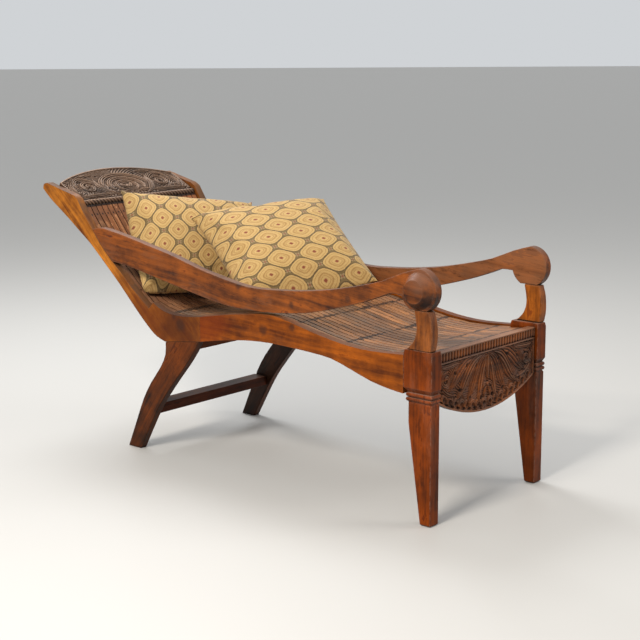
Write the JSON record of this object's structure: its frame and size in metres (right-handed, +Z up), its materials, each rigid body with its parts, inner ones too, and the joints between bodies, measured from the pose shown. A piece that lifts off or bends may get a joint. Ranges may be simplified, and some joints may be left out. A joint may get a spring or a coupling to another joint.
{
  "type": "planters_chair",
  "caption": "Low reclining wooden planter's armchair with sawn curved side frames, a slatted seat and back, a carved crest and apron, round arm knuckles and loose square pillows",
  "frame": {"origin": "The middle of the chair's footprint, on the floor under its feet", "axes": "+Z up; the chair faces -Y; +X runs across it, towards the sitter's left side"},
  "size_m": [0.604, 1.6648, 0.8734],
  "materials": {
    "teak": "satin",
    "red_teak": "satin",
    "dark_teak": "satin",
    "slat_teak": "satin",
    "cloth": "matte"
  },
  "bodies": {
    "root": {"front_leg_left": "red_teak", "seat_rail_left": "teak", "back_stile_left": "teak", "rear_leg_left": "red_teak", "armrest_left": "red_teak", "arm_post_left": "red_teak", "front_leg_right": "red_teak", "seat_rail_right": "teak", "back_stile_right": "teak", "rear_leg_right": "red_teak", "armrest_right": "red_teak", "arm_post_right": "red_teak", "front_apron": "dark_teak", "crest_rail": "dark_teak", "seat_slat_01": "slat_teak", "seat_slat_02": "slat_teak", "seat_slat_03": "slat_teak", "seat_slat_04": "slat_teak", "seat_slat_05": "slat_teak", "seat_slat_06": "slat_teak", "seat_slat_07": "slat_teak", "seat_slat_08": "slat_teak", "seat_slat_09": "slat_teak", "seat_slat_10": "slat_teak", "seat_slat_11": "slat_teak", "seat_slat_12": "slat_teak", "seat_slat_13": "slat_teak", "seat_slat_14": "slat_teak", "seat_slat_15": "slat_teak", "seat_slat_16": "slat_teak", "seat_slat_17": "slat_teak", "seat_slat_18": "slat_teak", "seat_slat_19": "slat_teak", "seat_slat_20": "slat_teak", "seat_slat_21": "slat_teak", "seat_slat_22": "slat_teak", "back_slats": "slat_teak", "seat_batten_1": "slat_teak", "seat_batten_2": "slat_teak", "seat_batten_3": "slat_teak", "seat_batten_4": "slat_teak", "front_cleat": "slat_teak", "rear_rail": "slat_teak", "knee_rail": "slat_teak", "rear_stretcher": "red_teak", "pillow_back": "cloth", "pillow_front": "cloth"}
  },
  "joints": []
}
